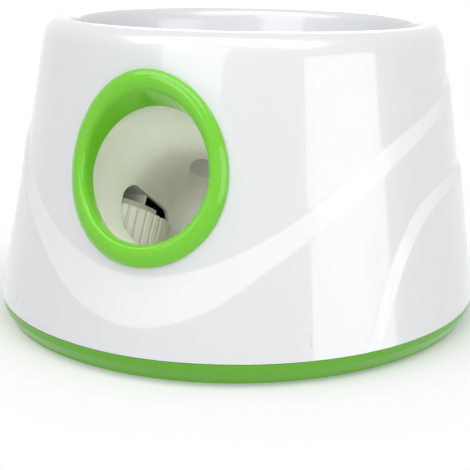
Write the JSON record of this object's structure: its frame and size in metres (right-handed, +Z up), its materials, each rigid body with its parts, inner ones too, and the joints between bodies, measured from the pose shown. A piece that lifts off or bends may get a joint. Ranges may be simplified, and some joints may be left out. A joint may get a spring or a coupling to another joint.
{
  "type": "automatic dog ball launcher",
  "caption": "Conical table-top ball thrower for dogs: open hopper on top, swinging feed gate, and an inclined launch tube with spinning ribbed wheels behind a round front port.",
  "frame": {"origin": "on the floor, at the middle of the base's bounding box", "axes": "+Z up, -Y towards the launch port, +X to the right when facing +Y"},
  "size_m": [0.37, 0.408, 0.225],
  "materials": {
    "white_gloss": "gloss white moulding",
    "green_gloss": "gloss green moulding",
    "inner_plastic": "satin off-white moulding",
    "gear_plastic": "natural acetal",
    "hub_plastic": "satin beige moulding",
    "tread_rubber": "matte ivory rubber",
    "foot_rubber": "matte rubber",
    "motor_steel": "drawn steel",
    "plated_steel": "zinc plated",
    "black_plastic": "satin black moulding",
    "panel_plastic": "satin light grey moulding",
    "button_green": "gloss green moulding",
    "button_grey": "satin grey moulding",
    "lens": "clear lens",
    "circuit_board": "solder mask"
  },
  "bodies": {
    "housing": {"ball_sensors": "black_plastic", "base_pan": "green_gloss", "battery_contacts": "plated_steel", "battery_door": "green_gloss", "battery_tray": "black_plastic", "board_components": "black_plastic", "board_screws": "plated_steel", "bracket_screws": "plated_steel", "button_board": "circuit_board", "case_screws": "plated_steel", "control_panel": "panel_plastic", "dc_jack": "black_plastic", "feed_throat": "inner_plastic", "gate_gearmotor": "motor_steel", "gate_motor_screws": "plated_steel", "gate_pivot_pin": "plated_steel", "hopper_bowl": "white_gloss", "hopper_screws": "plated_steel", "indicator_lenses": "lens", "launch_tube_lower": "inner_plastic", "launch_tube_upper": "inner_plastic", "left_motor_bracket": "plated_steel", "left_motor_can": "motor_steel", "left_motor_endcap": "black_plastic", "leg_screws": "plated_steel", "main_board": "circuit_board", "outer_shell": "white_gloss", "port_ring": "green_gloss", "right_motor_bracket": "plated_steel", "right_motor_can": "motor_steel", "right_motor_endcap": "black_plastic", "rubber_feet": "foot_rubber", "tube_screws": "plated_steel"},
    "left_wheel": {"left_wheel_tread": "tread_rubber", "left_wheel_hub": "hub_plastic", "left_motor_shaft": "plated_steel"},
    "right_wheel": {"right_wheel_tread": "tread_rubber", "right_wheel_hub": "hub_plastic", "right_motor_shaft": "plated_steel"},
    "gate": {"gate_blade": "gear_plastic"},
    "gate_drive": {"gate_pinion": "gear_plastic", "gate_motor_shaft": "plated_steel"},
    "power_key": {"power_button": "button_green"},
    "range_key": {"range_button": "button_grey"}
  },
  "joints": [
    {"name": "left_wheel_spin", "type": "hinge", "parent": "housing", "child": "left_wheel", "pos_m": [-0.0685, -0.10239, 0.07066], "axis": [0, -0.5, -0.866], "continuous": true},
    {"name": "right_wheel_spin", "type": "hinge", "parent": "housing", "child": "right_wheel", "pos_m": [0.0685, -0.10239, 0.07066], "axis": [0, 0.5, 0.866], "continuous": true},
    {"name": "gate_swing", "type": "hinge", "parent": "housing", "child": "gate", "pos_m": [0.046, -0.027, 0.145], "axis": [0, 0, 1], "range_deg": [0, 62]},
    {"name": "gate_pinion_spin", "type": "hinge", "parent": "housing", "child": "gate_drive", "pos_m": [0.046, -0.003, 0.145], "axis": [0, 0, 1], "range_deg": [-194, 6]},
    {"name": "power_button_press", "type": "slide", "parent": "housing", "child": "power_key", "axis": [0, -0.9882, -0.1532], "range_m": [0, 0.002], "stiffness_N_per_m": 700, "springref_m": -0.0006},
    {"name": "range_button_press", "type": "slide", "parent": "housing", "child": "range_key", "axis": [0, -0.9882, -0.1532], "range_m": [0, 0.002], "stiffness_N_per_m": 700, "springref_m": -0.0006}
  ],
  "couplings": [
    {"joint": "gate_pinion_spin", "follows": "gate_swing", "ratio": -3}
  ]
}
